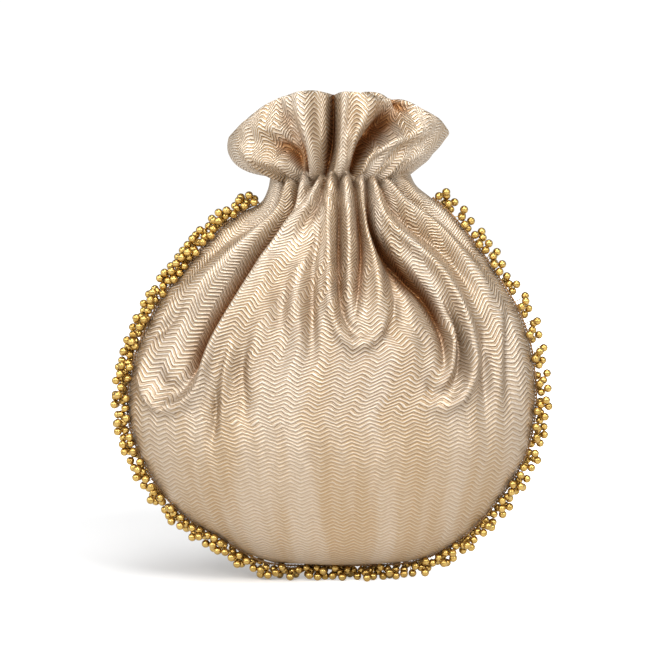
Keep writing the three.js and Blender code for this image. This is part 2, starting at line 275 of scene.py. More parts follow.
@dataclass(frozen=True)
class ZigzagCloth:
    """Champagne metallic cloth with raised zigzag ribs.

    Lengths are millimetres on the flat cloth, whose v runs up from the underside. A pair of heights
    is where a change begins and ends.
    """

    pitch: float = 1.66
    period: float = 9.2
    rounding: float = 0.2
    swing: float = 1.9
    swing_gathered: float = 3.3
    gathered: tuple[float, float] = (70.0, 150.0)
    crisp: tuple[float, float] = (50.0, 110.0)
    # The heights over which the painted shade of the lower body fades out upwards.
    lower: tuple[float, float] = (100.0, 165.0)
    wander: Drift = Drift(0.07, 3.0, 1.6)
    shiver: Drift = Drift(0.45, 0.9, 0.35)
    relief: float = 0.30
    rib: Colour = (0.81, 0.745, 0.655)
    ground: Colour = (0.50, 0.335, 0.168)
    # Dark brown for the painted shadow beside each rib and for darker yarn at random.
    rib_shadow_and_dark_yarn: Colour = (0.085, 0.040, 0.014)
    # The colour of the painted warm shade inside the folds.
    painted_fold_shade: Colour = (0.68, 0.42, 0.22)
    # The colour that multiplies the lower body, a painted shade that darkens it.
    painted_lower_shade: Colour = (0.785, 0.785, 0.80)

    def material(self) -> bpy.types.Material:
        """Builds the finish.

        Returns:
            The material, which follows the cloth's flat coordinates.
        """
        g = Graph.material("champagne_zigzag_cloth")
        flat = g.node("ShaderNodeUVMap", {"uv_map": ClothMesh.FLAT_UV})
        u, v = g.part(flat, "X") * ClothMesh.UV_MM, g.part(flat, "Y") * ClothMesh.UV_MM
        rows = self._rows(g, u, v)
        crisp = g.ramp(v, *self.crisp) * 0.5 + 0.5
        # A stroke is a bright length of a rib; between strokes a thin thread shows in the groove.
        stroke = g.ramp(g.noise(g.vector(u * 0.30, g.math("FLOOR", rows) * 5.7), detail=1.0), 0.32, 0.68)
        crest = 1.0 - g.math("ABSOLUTE", g.math("FRACT", rows) * 2.0 - 1.0)
        thread = g.ramp(crest, 0.55, 0.0) * (1.1 - stroke)
        rib = g.ramp(crest, 0.35, 0.85) + thread * 0.5
        yarn = g.noise(g.vector(u * 0.9, rows * 7.0), detail=1.0)
        height = g.ramp(crest, 0.25, 0.9) * (stroke * 0.5 + 0.5) + thread * 0.40 + yarn * 0.25
        # The ground between the ribs, with faint lighter bands up the cloth, painted in as the shading of
        # soft pleats.
        painted_pleat_shade = g.ramp(g.noise(g.vector(u * 0.06, v * 0.008), detail=3.0), 0.38, 0.64)
        colour = g.mix(painted_pleat_shade * 0.36, self.ground, self.rib)
        colour = g.mix(rib * (stroke * 0.3 + 0.6) * crisp, colour, self.rib)
        # Painted shadow beside each rib, strongest below it, away from the light from above.
        colour = g.mix(self._shadow(g, rows, stroke, crisp), colour, self.rib_shadow_and_dark_yarn)
        # Darker yarn at random, in the same dark brown.
        colour = g.mix(g.ramp(yarn, 0.45, 0.8) * 0.35 * crisp, colour, self.rib_shadow_and_dark_yarn)
        # Painted shade towards the bottom: the lower body is warmed towards the ground's colour and darkened.
        low = 1.0 - g.ramp(v, *self.lower)
        colour = g.mix(low * 0.15, colour, self.ground)
        colour = g.mix(low, colour, self.painted_lower_shade, "MULTIPLY")
        # Painted warm shade inside the folds, deepest where the cloth lies deepest in a fold; it stands in
        # for the light that the metal cloth bounces between its folds.
        deep = g.node("ShaderNodeAttribute", {"attribute_name": ClothMesh.PAINTED_FOLD_SHADE}, {}, "Fac")
        return g.principled(
            Base_Color=g.mix(deep, colour, self.painted_fold_shade, "MULTIPLY"),
            Metallic=rib * 0.10 + 0.80,
            Roughness=0.50 - rib * 0.06,
            Normal=g.bump(height * crisp, self.relief * MM),
        )

    def _rows(self, g: Graph, u: Shade, v: Shade) -> Shade:
        """Counts the rows of ribs up to a place, along rows that zigzag and drift.

        Args:
            g: The material's graph.
            u: The place across the flat cloth.
            v: The place up the flat cloth.

        Returns:
            The count. Its fraction is how far up its own row the place is.
        """
        wander, shiver = (
            g.noise(g.vector(u * drift.scale, v * drift.scale)) - 0.5 for drift in (self.wander, self.shiver)
        )
        half = self.period / 2
        leg = g.math("PINGPONG", u + wander * self.wander.across + shiver * self.shiver.across, half) / half
        leg = g.ramp(leg, 0.0, 1.0) * self.rounding + leg * (1.0 - self.rounding)
        swing = g.ramp(v, *self.gathered) * (self.swing_gathered - self.swing) + self.swing
        return (v + leg * swing + wander * self.wander.up + shiver * self.shiver.up) / self.pitch

    @staticmethod
    def _shadow(g: Graph, rows: Shade, stroke: Shade, crisp: Shade) -> Shade:
        """How much painted shadow lies beside each rib: a strong line below it, on the side away from the
        light from above, and a faint one above.

        Args:
            g: The material's graph.
            rows: The count of rows up to a place.
            stroke: How bright the rib is there.
            crisp: How clearly the weave shows there.

        Returns:
            The share of the painted shadow's colour.
        """
        place = g.math("FRACT", rows)
        under, over = g.band(place, 0.18, 0.04, 0.17), g.band(place, 0.82, 0.02, 0.14)
        return (under * (1.05 - stroke * 0.5) + over * 0.3) * (crisp * 1.2 - 0.2)


@dataclass(frozen=True)
class GoldBead:
    """Polished antique gold with a little unevenness."""

    gold: Colour = (0.57, 0.385, 0.12)
    deep: Colour = (0.33, 0.20, 0.05)
    cloud_scale: float = 420.0
    pit_scale: float = 2600.0

    def material(self) -> bpy.types.Material:
        """Builds the finish.

        Returns:
            The material.
        """
        g = Graph.material("antique_gold_bead")
        where = g.node("ShaderNodeTexCoord", {}, {}, "Object")
        cloudy = g.noise(where, self.cloud_scale, 3.0)
        return g.principled(
            Base_Color=g.mix(g.ramp(cloudy, 0.4, 0.75), self.gold, self.deep),
            Metallic=1.0,
            Roughness=cloudy * 0.12 + 0.17,
            Normal=g.bump(g.noise(where, self.pit_scale), 0.2 * MM, 0.12),
        )


@dataclass(frozen=True)
class Thread:
    """Spun thread with a slight gloss."""

    name: str
    light: Colour
    dark: Colour
    roughness: float = 0.62
    fibre_scale: float = 5200.0

    def material(self) -> bpy.types.Material:
        """Builds the finish.

        Returns:
            The material.
        """
        g = Graph.material(self.name)
        fibre = g.noise(g.node("ShaderNodeTexCoord", {}, {}, "Object"), self.fibre_scale, 3.0)
        return g.principled(
            Base_Color=g.mix(g.ramp(fibre, 0.3, 0.7), self.dark, self.light),
            Roughness=self.roughness,
            Normal=g.bump(fibre, 0.1 * MM, 0.5),
        )


@dataclass(frozen=True)
class StudioFloor:
    """A pale matte floor that glows white to the camera, so that it has no horizon.

    Lengths are metres. The glow leaves out the floor to the left of the bag and close behind it,
    where the bag's soft shadow lies.
    """

    colour: Colour = (0.80, 0.80, 0.80)
    roughness: float = 0.9
    glow_right: float = 0.95
    glow_far: float = 1.02
    glow_on_things: float = 0.1
    middle: float = 0.06
    shaded_radius: tuple[float, float] = (0.20, 0.50)

    def material(self) -> bpy.types.Material:
        """Builds the finish.

        Returns:
            The material.
        """
        g = Graph.material("studio_floor")
        where = g.node("ShaderNodeTexCoord", {}, {}, "Object")
        x, y = g.part(where, "X"), g.part(where, "Y")
        far = g.ramp(g.math("SQRT", x * x + y * y), *self.shaded_radius)
        glow = g.ramp(x, -self.middle, self.middle) * self.glow_right + far * self.glow_far
        seen = g.node("ShaderNodeLightPath", {}, {}, "Is Camera Ray")
        glow = glow * (seen * (1.0 - self.glow_on_things) + self.glow_on_things)
        return g.principled(
            Base_Color=(*self.colour, 1.0),
            Roughness=self.roughness,
            Emission_Color=g.vector(glow, glow, glow),
            Emission_Strength=1.0,
        )


# ---- The seam -------------------------------------------------------------------------------


@dataclass
class Seam:
    """The sewn seam's route in the plane y = 0, from the neck's left side round to its right."""

    points: Route = (
        (-33, 170.8), (-42, 166), (-54, 156), (-67, 140.5), (-77, 128), (-86, 110), (-91, 95),
        (-92.6, 80), (-91, 67), (-84.5, 51), (-76, 38), (-66, 28), (-52, 19.5), (-39, 11.5), (-26, 6.8),
        (0, 6.3), (27, 6.7), (42, 9.5), (56, 16.5), (68, 27.5), (79.5, 42), (88, 58), (92, 80),
        (90, 104), (84.5, 121), (75.5, 136.5), (64.5, 152), (52.5, 166.5), (45, 173),
    )
    steps: int = 16
    left_corner: int = 14
    right_corner: int = 16
    left_neck: Route = ((-29.6, 176.5), (-28.3, 182.5))
    right_neck: Route = ((38.2, 178.5), (35.4, 183.5))

    def line(self) -> Points:
        """The whole route as samples of (x, z)."""
        return spline(self.points, self.steps)

    def at(self, share: float) -> tuple[Points, Points]:
        """A place on the route.

        Args:
            share: How far along the route, from 0 to 1.

        Returns:
            The point and the direction outwards, in 3-D.
        """
        line = self.line()
        total = lengths_along(line)[-1]
        before, point, after = sample(line, [share * total - 0.5, share * total, share * total + 0.5])
        along = unit(after - before)
        return np.array([point[0], 0.0, point[1]]), np.array([along[1], 0.0, -along[0]])

    def inset_side(self, right: bool, inset: float) -> Points:
        """One side of the panels' edge as (x, z) samples that go up from the underside to the neck.

        Args:
            right: Whether it is the right side.
            inset: How far inside the route the edge lies.

        Returns:
            The samples.
        """
        if right:
            route = [*self.points[self.right_corner:], *self.right_neck]
        else:
            route = [*self.points[: self.left_corner + 1][::-1], *self.left_neck]
        line = spline(route, self.steps)
        along = unit(np.gradient(line, axis=0))
        inward = np.stack([-along[:, 1], along[:, 0]], axis=1) * (1.0 if right else -1.0)
        return line + inward * inset

    def inset_bottom(self, count: int, inset: float) -> Points:
        """The lowest stretch of the panels' edge, from left to right.

        Args:
            count: The number of samples.
            inset: How far above the route the edge lies.

        Returns:
            The samples of (x, z), evenly spaced.
        """
        line = spline(self.points[self.left_corner : self.right_corner + 1], self.steps)
        return sample(line, np.linspace(0, lengths_along(line)[-1], count)) + np.array([0.0, inset])


# ---- The cloth ------------------------------------------------------------------------------


class Side(Enum):
    """Which panel of the bag; the value is the sign of its Y."""

    FRONT = -1
    BACK = 1


# How far a fold still lifts the cloth, in its own widths, and how round a crease's bottom is.
CREASE_REACH = 5.0
ROUND_REACH = 2.6
CREASE_ROUND = 0.2


@dataclass(frozen=True)
class Fold:
    """One ridge or valley of the cloth, seen from the front.

    route holds its points as (x, z) from the neck on. height, left and right are the height above
    the smooth cloth (below 0 in a valley) and the width to either side, at even places of the route.
    Without right, both sides are alike. A sharp fold is a crease; any other is rounded.
    """

    route: Route
    height: Numbers
    left: Numbers
    right: Numbers = ()
    sharp: bool = False

    def lift(self, x: Points, z: Points, start: Optional[float]) -> tuple[Any, Points]:
        """How far the fold lifts places of the cloth.

        Args:
            x: The places' x.
            z: The places' z.
            start: The height from which the fold goes on straight past its first point, if any.

        Returns:
            The places that it reaches, as an index, and its lift there.
        """
        line = spline(self.route, 6)
        along = unit(np.gradient(line, axis=0))
        widths = self.left, self.right or self.left
        reach = (CREASE_REACH if self.sharp else ROUND_REACH) * max(*widths[0], *widths[1])
        low, high = line.min(0) - reach, line.max(0) + reach
        near = np.nonzero((x > low[0]) & (x < high[0]) & (z > low[1]) & (z < high[1]))
        dx, dz = x[near][:, None] - line[:, 0], z[near][:, None] - line[:, 1]
        best = np.argmin(dx**2 + dz**2, axis=1)
        row = np.arange(len(best))
        dx, dz = dx[row, best], dz[row, best]
        across = along[best, 0] * dz - along[best, 1] * dx
        ahead = along[best, 0] * dx + along[best, 1] * dz
        past = ((best == 0) & (ahead < 0)) | ((best == len(line) - 1) & (ahead > 0))
        if start is not None and self.route[0][1] >= start:
            past &= best != 0
        distance = np.where(past, np.hypot(dx, dz), np.abs(across))
        at = lengths_along(line)[best] + np.where(past, 0.0, ahead)
        place = at / lengths_along(line)[-1]
        height, left, right = (
            np.interp(place, np.linspace(0, 1, len(values)), values) for values in (self.height, *widths)
        )
        share = smoothstep(-1.0, 1.0, across / np.maximum(distance, 1e-6))
        ratio = distance / (left + (right - left) * share)
        if self.sharp:
            shape = np.exp(CREASE_ROUND - np.sqrt(ratio**2 + CREASE_ROUND**2))
        else:
            shape = np.exp(-(ratio**2))
        return near, height * shape


def crease(route: Route, depth: Numbers, left: Numbers, right: Numbers = ()) -> Fold:
    """A sharp valley of a given depth."""
    return Fold(route, tuple(-d for d in depth), left, right, True)


BODY_FOLDS: tuple[Fold, ...] = (
    # The left mound, and the soft valleys beside it.
    crease(
        ((-23.5, 180), (-27, 170), (-36, 162), (-48, 154), (-62, 138)),
        (5, 4, 2.2, 1.5, 0.4), (1.4, 2, 3, 4, 5),
    ),
    Fold(
        ((-20, 180), (-26, 168), (-37, 155), (-54, 138), (-70, 122)),
        (1.6, 2.4, 3, 2.6, 0.8), (2.5, 3, 5, 7, 8), (2, 2.5, 4, 6, 8),
    ),
    crease(
        ((-84, 112), (-78, 114), (-71, 120.5), (-66, 128)),
        (0.8, 2.4, 2.0, 0.4), (2, 2.4, 3, 4), (1.6, 1.8, 2.4, 3),
    ),
    # The long left valley, the ridge to its right and the hooked roll at its foot.
    crease(
        (
            (-16.9, 180), (-19.6, 169), (-26, 158.4), (-37, 142.6), (-48.4, 124.6), (-57.4, 108.9),
            (-62.6, 97), (-66, 90),
        ),
        (5, 5.4, 6.4, 7.4, 7.4, 7.6, 7.6, 2), (1.6, 2.2, 3.2, 4.6, 5.4, 5.6, 5.0, 4),
        (1.2, 1.2, 1.1, 1.0, 1.0, 1.0, 1.1, 2),
    ),
    Fold(
        (
            (-13.4, 180), (-16.6, 168), (-23, 158), (-33.5, 142.5), (-44.5, 124.6), (-52.5, 109.6),
            (-57, 96), (-60.5, 84),
        ),
        (1.5, 2, 2.2, 2.2, 2.2, 2.6, 3, 1), (1.5, 1.6, 1.6, 1.8, 2.0, 2.2, 2.4, 2.4),
        (2, 2.5, 4, 6, 7, 4, 2.4, 2.4),
    ),
    Fold(
        ((-84.5, 103), (-86, 93), (-82.5, 84.5), (-75.5, 79.5), (-66.5, 82.2), (-60.5, 89)),
        (0.6, 1.8, 2.6, 3, 2.8, 1), (2, 2, 2, 2, 2, 2), (2.2, 2.6, 3, 3, 2.6, 2.4),
    ),
    Fold(((-79, 98), (-76, 91), (-70, 88)), (-1, -2.4, -1.6), (3.6, 4, 4), (3, 3, 3)),
    crease(
        ((-52.8, 92), (-52, 82), (-53, 72), (-54.6, 62)),
        (0.6, 2.6, 2.0, 0.3), (1.6, 1.8, 2.2, 3), (2.2, 2.6, 3, 4),
    ),
    Fold(
        ((-44, 110), (-47, 96), (-48, 82), (-49.5, 62)),
        (0.6, 1.4, 1.4, 0.2), (1.8, 2, 2.4, 3), (2, 2, 2.4, 3),
    ),
    Fold(
        ((-38, 112), (-40.5, 98), (-39.6, 84), (-40, 72)),
        (-0.8, -2.6, -2.0, -0.2), (2.6, 3, 3, 4), (2.4, 2.8, 3.4, 4),
    ),
    # Short pleats left of the middle.
    crease(((-10, 180), (-13.4, 172), (-17, 166.5)), (5, 4, 1), (1.4, 1.6, 2), (1.3, 1.4, 2)),
    Fold(((-7, 180), (-11, 172), (-15, 165), (-17.5, 160)), (1.5, 2.4, 2.8, 1.8), (1.8, 2, 2.4, 3)),
    crease(
        ((-4.6, 180), (-6.6, 172), (-10.5, 165), (-14.5, 158)),
        (5.4, 5, 3.6, 0.8), (1.3, 1.8, 2.4, 3), (1.3, 1.6, 2.4, 3),
    ),
    # Soft pleats that fade down the middle left.
    Fold(((-29, 146), (-31, 128), (-31, 110)), (0.8, 1.6, 0.4), (3, 4, 5)),
    Fold(
        ((-20.5, 142), (-22.8, 126), (-23, 106), (-23, 92)),
        (-0.8, -2.0, -1.2, -0.2), (3, 3.4, 4, 5), (2.4, 2.8, 4, 5),
    ),
    Fold(((-13.5, 146), (-16.2, 130), (-14.8, 112), (-14, 98)), (0.6, 1.6, 1.2, 0.2), (2.2, 2.4, 3, 4)),
    Fold(
        ((-6.5, 160), (-8.6, 142), (-9.2, 124), (-9, 106), (-8.6, 92)),
        (-1.2, -2.4, -3.0, -1.8, -0.2), (2.2, 2.4, 2.6, 3.2, 4), (1.6, 1.7, 2.0, 3, 4),
    ),
    # The drop-shaped loop in the middle: its left arm, foot and right arm, and what it holds.
    Fold(
        (
            (-0.8, 180), (-1.6, 166), (-1.4, 148), (-1.4, 131), (0.4, 120), (4.4, 112), (10.2, 108.4),
            (17, 110.6), (22.6, 118), (25.2, 130),
        ),
        (1.2, 2, 2.6, 2.9, 2.8, 2.5, 2.3, 2.1, 1.6, 0.8),
        (2.0, 2.0, 2.0, 2.0, 2.1, 2.2, 2.2, 2.1, 1.8, 1.8),
        (1.6, 1.7, 1.8, 2.0, 2.6, 3.4, 3.8, 3.4, 2.6, 2.4),
    ),
    crease(
        ((2.6, 180), (2.6, 165), (2.4, 150), (2.6, 136), (4.2, 124), (7.8, 116.4), (12, 114.6)),
        (5, 5, 4.6, 4.6, 4.4, 3.4, 1.0), (1.2, 1.2, 1.2, 1.2, 1.3, 1.4, 2),
        (1.3, 1.6, 2.0, 2.2, 2.2, 2, 2),
    ),
    Fold(
        ((6.2, 180), (7.0, 166), (7.4, 152), (7.4, 139), (8.2, 127)),
        (1.4, 1.8, 1.6, 1.4, 0.6), (1.6, 1.9, 1.9, 1.9, 2), (1.6, 1.8, 1.8, 1.8, 2),
    ),
    crease(
        ((10.2, 180), (11.8, 167), (13.4, 153), (12.8, 140), (11.2, 129), (9.6, 121.5)),
        (5, 5.6, 5.2, 4.8, 4, 1), (1.4, 1.8, 2.4, 3, 3, 2.6), (1.1, 1.1, 1.1, 1.2, 1.5, 2),
    ),
    Fold(
        ((13, 180), (14.8, 167), (17.4, 154), (19.6, 141), (20.6, 129), (18.6, 119.5)),
        (1.2, 2.0, 2.8, 3.2, 3.0, 1.2), (1.3, 1.5, 1.8, 2.4, 3.0, 3.4), (1.2, 1.6, 2.2, 2.8, 3, 3),
    ),
    crease(
        ((24, 145), (27, 135), (27.4, 124), (24.4, 114), (18.6, 107.4), (10, 104.6), (3, 107)),
        (0.6, 1.8, 2.2, 1.8, 1.2, 0.7, 0.2), (1.4, 1.4, 1.4, 1.6, 2, 2.6, 3), (3, 3, 3, 3, 3, 4, 4),
    ),
    Fold(((33, 128), (34, 112), (33, 96)), (0.8, 1.6, 0.3), (4, 5, 6)),
    # The deepest valley and the ridge that overhangs it, which curls back at its foot.
    crease(
        (
            (15.8, 180), (16.9, 167), (19.6, 158), (26, 148.4), (34.9, 139.3), (43.6, 129.4),
            (48.6, 118), (50.6, 106), (49.6, 96),
        ),
        (5, 7.5, 10, 11, 10, 8, 6, 4, 1.2), (1.2, 2, 2.8, 3.8, 4.2, 4.4, 4.0, 3.4, 3),
        (1.1, 1.1, 1.0, 0.9, 0.9, 1.0, 1.2, 1.6, 2.4),
    ),
    Fold(
        (
            (18.8, 180), (21.4, 168), (26, 160), (36, 150.4), (46.2, 140.5), (54.6, 127.5),
            (59.8, 113.6), (61.6, 100), (58, 88), (50, 81.8), (43, 82.6),
        ),
        (1.2, 2.4, 3.4, 3.8, 3.8, 3.4, 3.2, 3.2, 3.2, 3.2, 1.0),
        (1.4, 1.6, 1.7, 1.8, 1.8, 1.8, 1.9, 2, 2.2, 2.4, 2.4),
        (1.8, 2.4, 3, 4, 4.4, 4.0, 3.4, 3.4, 3.2, 3, 3),
    ),
    crease(
        ((50.5, 129), (55, 118), (57.4, 107), (56.4, 97), (53, 90)),
        (1.2, 3.2, 3.8, 3.4, 0.8), (1.6, 1.6, 1.6, 1.8, 2), (1.1, 1.1, 1.2, 1.3, 2),
    ),
    Fold(
        ((52.6, 121), (53.4, 109), (52, 98), (47.6, 91)),
        (0.8, 2.4, 2.4, 1.2), (1.7, 1.8, 2, 2.4), (1.6, 1.7, 1.9, 2.2),
    ),
    crease(((41, 96), (44.8, 88.4), (50, 86.6)), (0.8, 1.8, 0.6), (2, 2, 2)),
    # The right shoulder.
    crease(
        ((22.4, 180), (27, 170), (36, 161), (48.4, 151), (61, 136), (67, 124)),
        (5, 4.4, 3.4, 2.4, 1.8, 0.4), (1.4, 2, 2.4, 3, 4, 5), (1.4, 1.6, 1.8, 2.2, 3, 4),
    ),
    Fold(
        ((26, 180), (31.6, 172), (42, 163.6), (53, 152.6), (64.4, 138.6), (72, 122)),
        (1.6, 2.6, 3, 2.8, 2.2, 0.6), (2, 2.4, 3, 3.4, 4, 5), (2, 2.4, 3, 3.6, 4, 5),
    ),
    crease(
        ((29.8, 180), (36.5, 173.6), (47, 166), (58, 154), (68, 140)),
        (4.6, 4, 2.4, 1.8, 0.4), (1.5, 2, 3, 3.4, 4),
    ),
    Fold(((33, 180), (40, 175), (50, 168), (60, 158)), (1.2, 1.6, 1.5, 0.5), (1.6, 2.6, 3.4, 4)),
    Fold(((68, 118), (68, 102), (68.8, 86), (69, 72)), (-0.6, -2.2, -1.8, -0.3), (2.6, 2.8, 3.2, 5)),
    Fold(((75, 126), (74, 108), (73.4, 90), (73, 74)), (0.6, 1.4, 1.2, 0.2), (2.2, 2.6, 3, 4)),
    Fold(
        ((79, 122), (78.6, 106), (79, 90), (79, 76)),
        (-0.6, -1.6, -1.4, -0.3), (2.2, 2.4, 3, 4), (2.2, 2.6, 3, 4),
    ),
    # Faint undulations lower down.
    Fold(((24, 100), (24, 80), (23, 58)), (-0.2, -0.9, -0.1), (7, 8, 9)),
    Fold(((-12, 92), (-9, 70), (-8, 45)), (0.2, 0.8, 0.1), (6, 8, 9)),
    Fold(((-26, 88), (-25, 68), (-25, 46)), (-0.2, -0.7, -0.1), (4, 5, 6)),
    Fold(((58, 84), (60, 64), (58, 44)), (0.2, 0.8, 0.1), (5, 7, 8)),
)

FRILL_FOLDS: tuple[Fold, ...] = (
    # The left lobe, with the pocket above its lower roll.
    crease(
        ((-15.5, 186), (-18.5, 192.5), (-24, 195.6), (-31, 196.4)),
        (5, 8, 7, 1.2), (2.4, 3.4, 4.4, 4), (2.4, 3, 3.2, 3),
    ),
    Fold(
        ((-17, 185), (-25, 187.6), (-34, 190.5), (-42, 195)),
        (2, 4.4, 4.2, 1.2), (3, 3.4, 4, 4), (2.6, 3, 3.4, 4),
    ),
    Fold(((-22, 202), (-29, 204), (-37, 203)), (2.0, 3.0, 1.0), (3, 4, 4), (3, 3.4, 4)),
    Fold(((-19, 201), (-21.5, 208), (-25, 214)), (-2.4, -3.4, -1.6), (2.6, 3, 3.6), (2.2, 2.6, 3.2)),
    # The upright lobe left of the middle.
    crease(
        ((-12.6, 185), (-13.6, 192), (-15.4, 200), (-17, 209)),
        (5, 4, 2.4, 0.6), (1.6, 2, 2.6, 3), (1.4, 1.6, 2.4, 3),
    ),
    Fold(
        ((-9, 184), (-10.4, 197), (-13.4, 212), (-14.4, 219)),
        (2.4, 3.6, 3.6, 2.4), (2.4, 2.8, 3.2, 4),
    ),
    Fold(((-6.6, 200), (-7, 210), (-7.6, 219)), (-1.6, -2.2, -1.6), (1.8, 2, 2.4)),
    crease(
        ((-4.2, 183.5), (-3.0, 190), (-1.4, 201), (-0.4, 221)),
        (6, 12, 10, 7), (1.6, 3.2, 2.6, 1.8), (0.8, 1.1, 0.8, 0.7),
    ),
    # The upright lobe right of the middle.
    Fold(
        ((2.2, 184), (2.8, 196), (3.6, 208), (4.2, 220)),
        (2.4, 3.6, 3.6, 2.4), (1.8, 2.2, 2.4, 3), (2.2, 2.6, 3, 4),
    ),
    Fold(((8.4, 203), (9.4, 211), (10, 219)), (-1.6, -2.2, -1.4), (2, 2.4, 3)),
    Fold(
        ((7, 190), (9.6, 200), (14.5, 209), (18, 216)),
        (1.6, 3.0, 3.0, 1.4), (1.6, 1.8, 2.2, 3), (1.8, 2.2, 3, 4),
    ),
    # The funnel and the lobe that sweeps up to the right under it.
    crease(
        ((8.4, 184), (10.6, 191), (14, 197.6), (21, 203), (31, 207.6)),
        (7, 11, 10, 7, 2.4), (2.0, 2.8, 3.4, 4, 4), (1.0, 1.1, 1.4, 2, 3),
    ),
    Fold(((13, 192), (17, 200), (24, 207), (31, 212)), (-2, -5, -6, -2.4), (3, 4, 5, 5), (2, 3, 4, 5)),
    Fold(
        ((13.5, 184), (16, 190.5), (23, 196), (33, 200.8), (44, 205)),
        (1.8, 4.2, 5.2, 5, 1.8), (1.4, 1.7, 2.2, 3, 4), (1.8, 2.6, 4, 5, 5),
    ),
    Fold(((24, 189), (33, 194), (42, 198.4)), (-1.6, -2.8, -1.0), (2, 2.4, 3)),
    Fold(((30, 187), (38, 192), (46, 197)), (1.2, 2.2, 1.0), (1.8, 2.2, 2.6)),
    crease(((29, 217), (32.5, 213.5), (37, 211)), (5, 6, 2), (1.4, 1.6, 2)),
    Fold(((21, 184), (28, 187), (35, 190)), (-1.4, -2.4, -0.6), (1.8, 2, 2.4)),
)


# The mouth's edge from the left end to the right one, as (x, depth, z), and the x that each point
# comes up from at the neck.
MOUTHS: dict[Side, tuple[tuple[float, float, float, float], ...]] = {
    Side.FRONT: (
        (-44.5, 0.2, 200.5, -28.3), (-46, 8, 200, -27.2), (-39, 18, 206.5, -25), (-28, 24, 214.8, -21),
        (-18.5, 25, 218.2, -16), (-9.5, 25, 220, -9.5), (-3, 20, 219.2, -5.5), (0.4, 18, 218.5, -3),
        (4.5, 23, 219.4, 1.5), (10.5, 26, 219.2, 5), (17, 22, 218.2, 8), (22.5, 17, 216.8, 10.5),
        (28, 18, 216.6, 14), (34, 21, 215.4, 19), (41, 20, 211.4, 24.5), (48, 14, 206.4, 30),
        (52, 6, 201.8, 34), (49.5, 0.2, 198.5, 35.4),
    ),
    Side.BACK: (
        (-44.5, 0.2, 200.5, -28.3), (-44, 9, 202, -26), (-36, 19, 208, -22), (-24, 23, 214, -16),
        (-12, 21, 216, -9), (-4, 14, 214.5, -4), (1, 11, 213.5, 0), (6, 15, 216, 4), (13, 22, 220.4, 8),
        (20, 23, 220.8, 13), (25.6, 17, 217.4, 18), (28.5, 13, 215, 22), (33, 17, 215, 27),
        (41, 17, 211.5, 31), (49, 9, 204.5, 34), (49.5, 0.2, 198.5, 35.4),
    ),
}


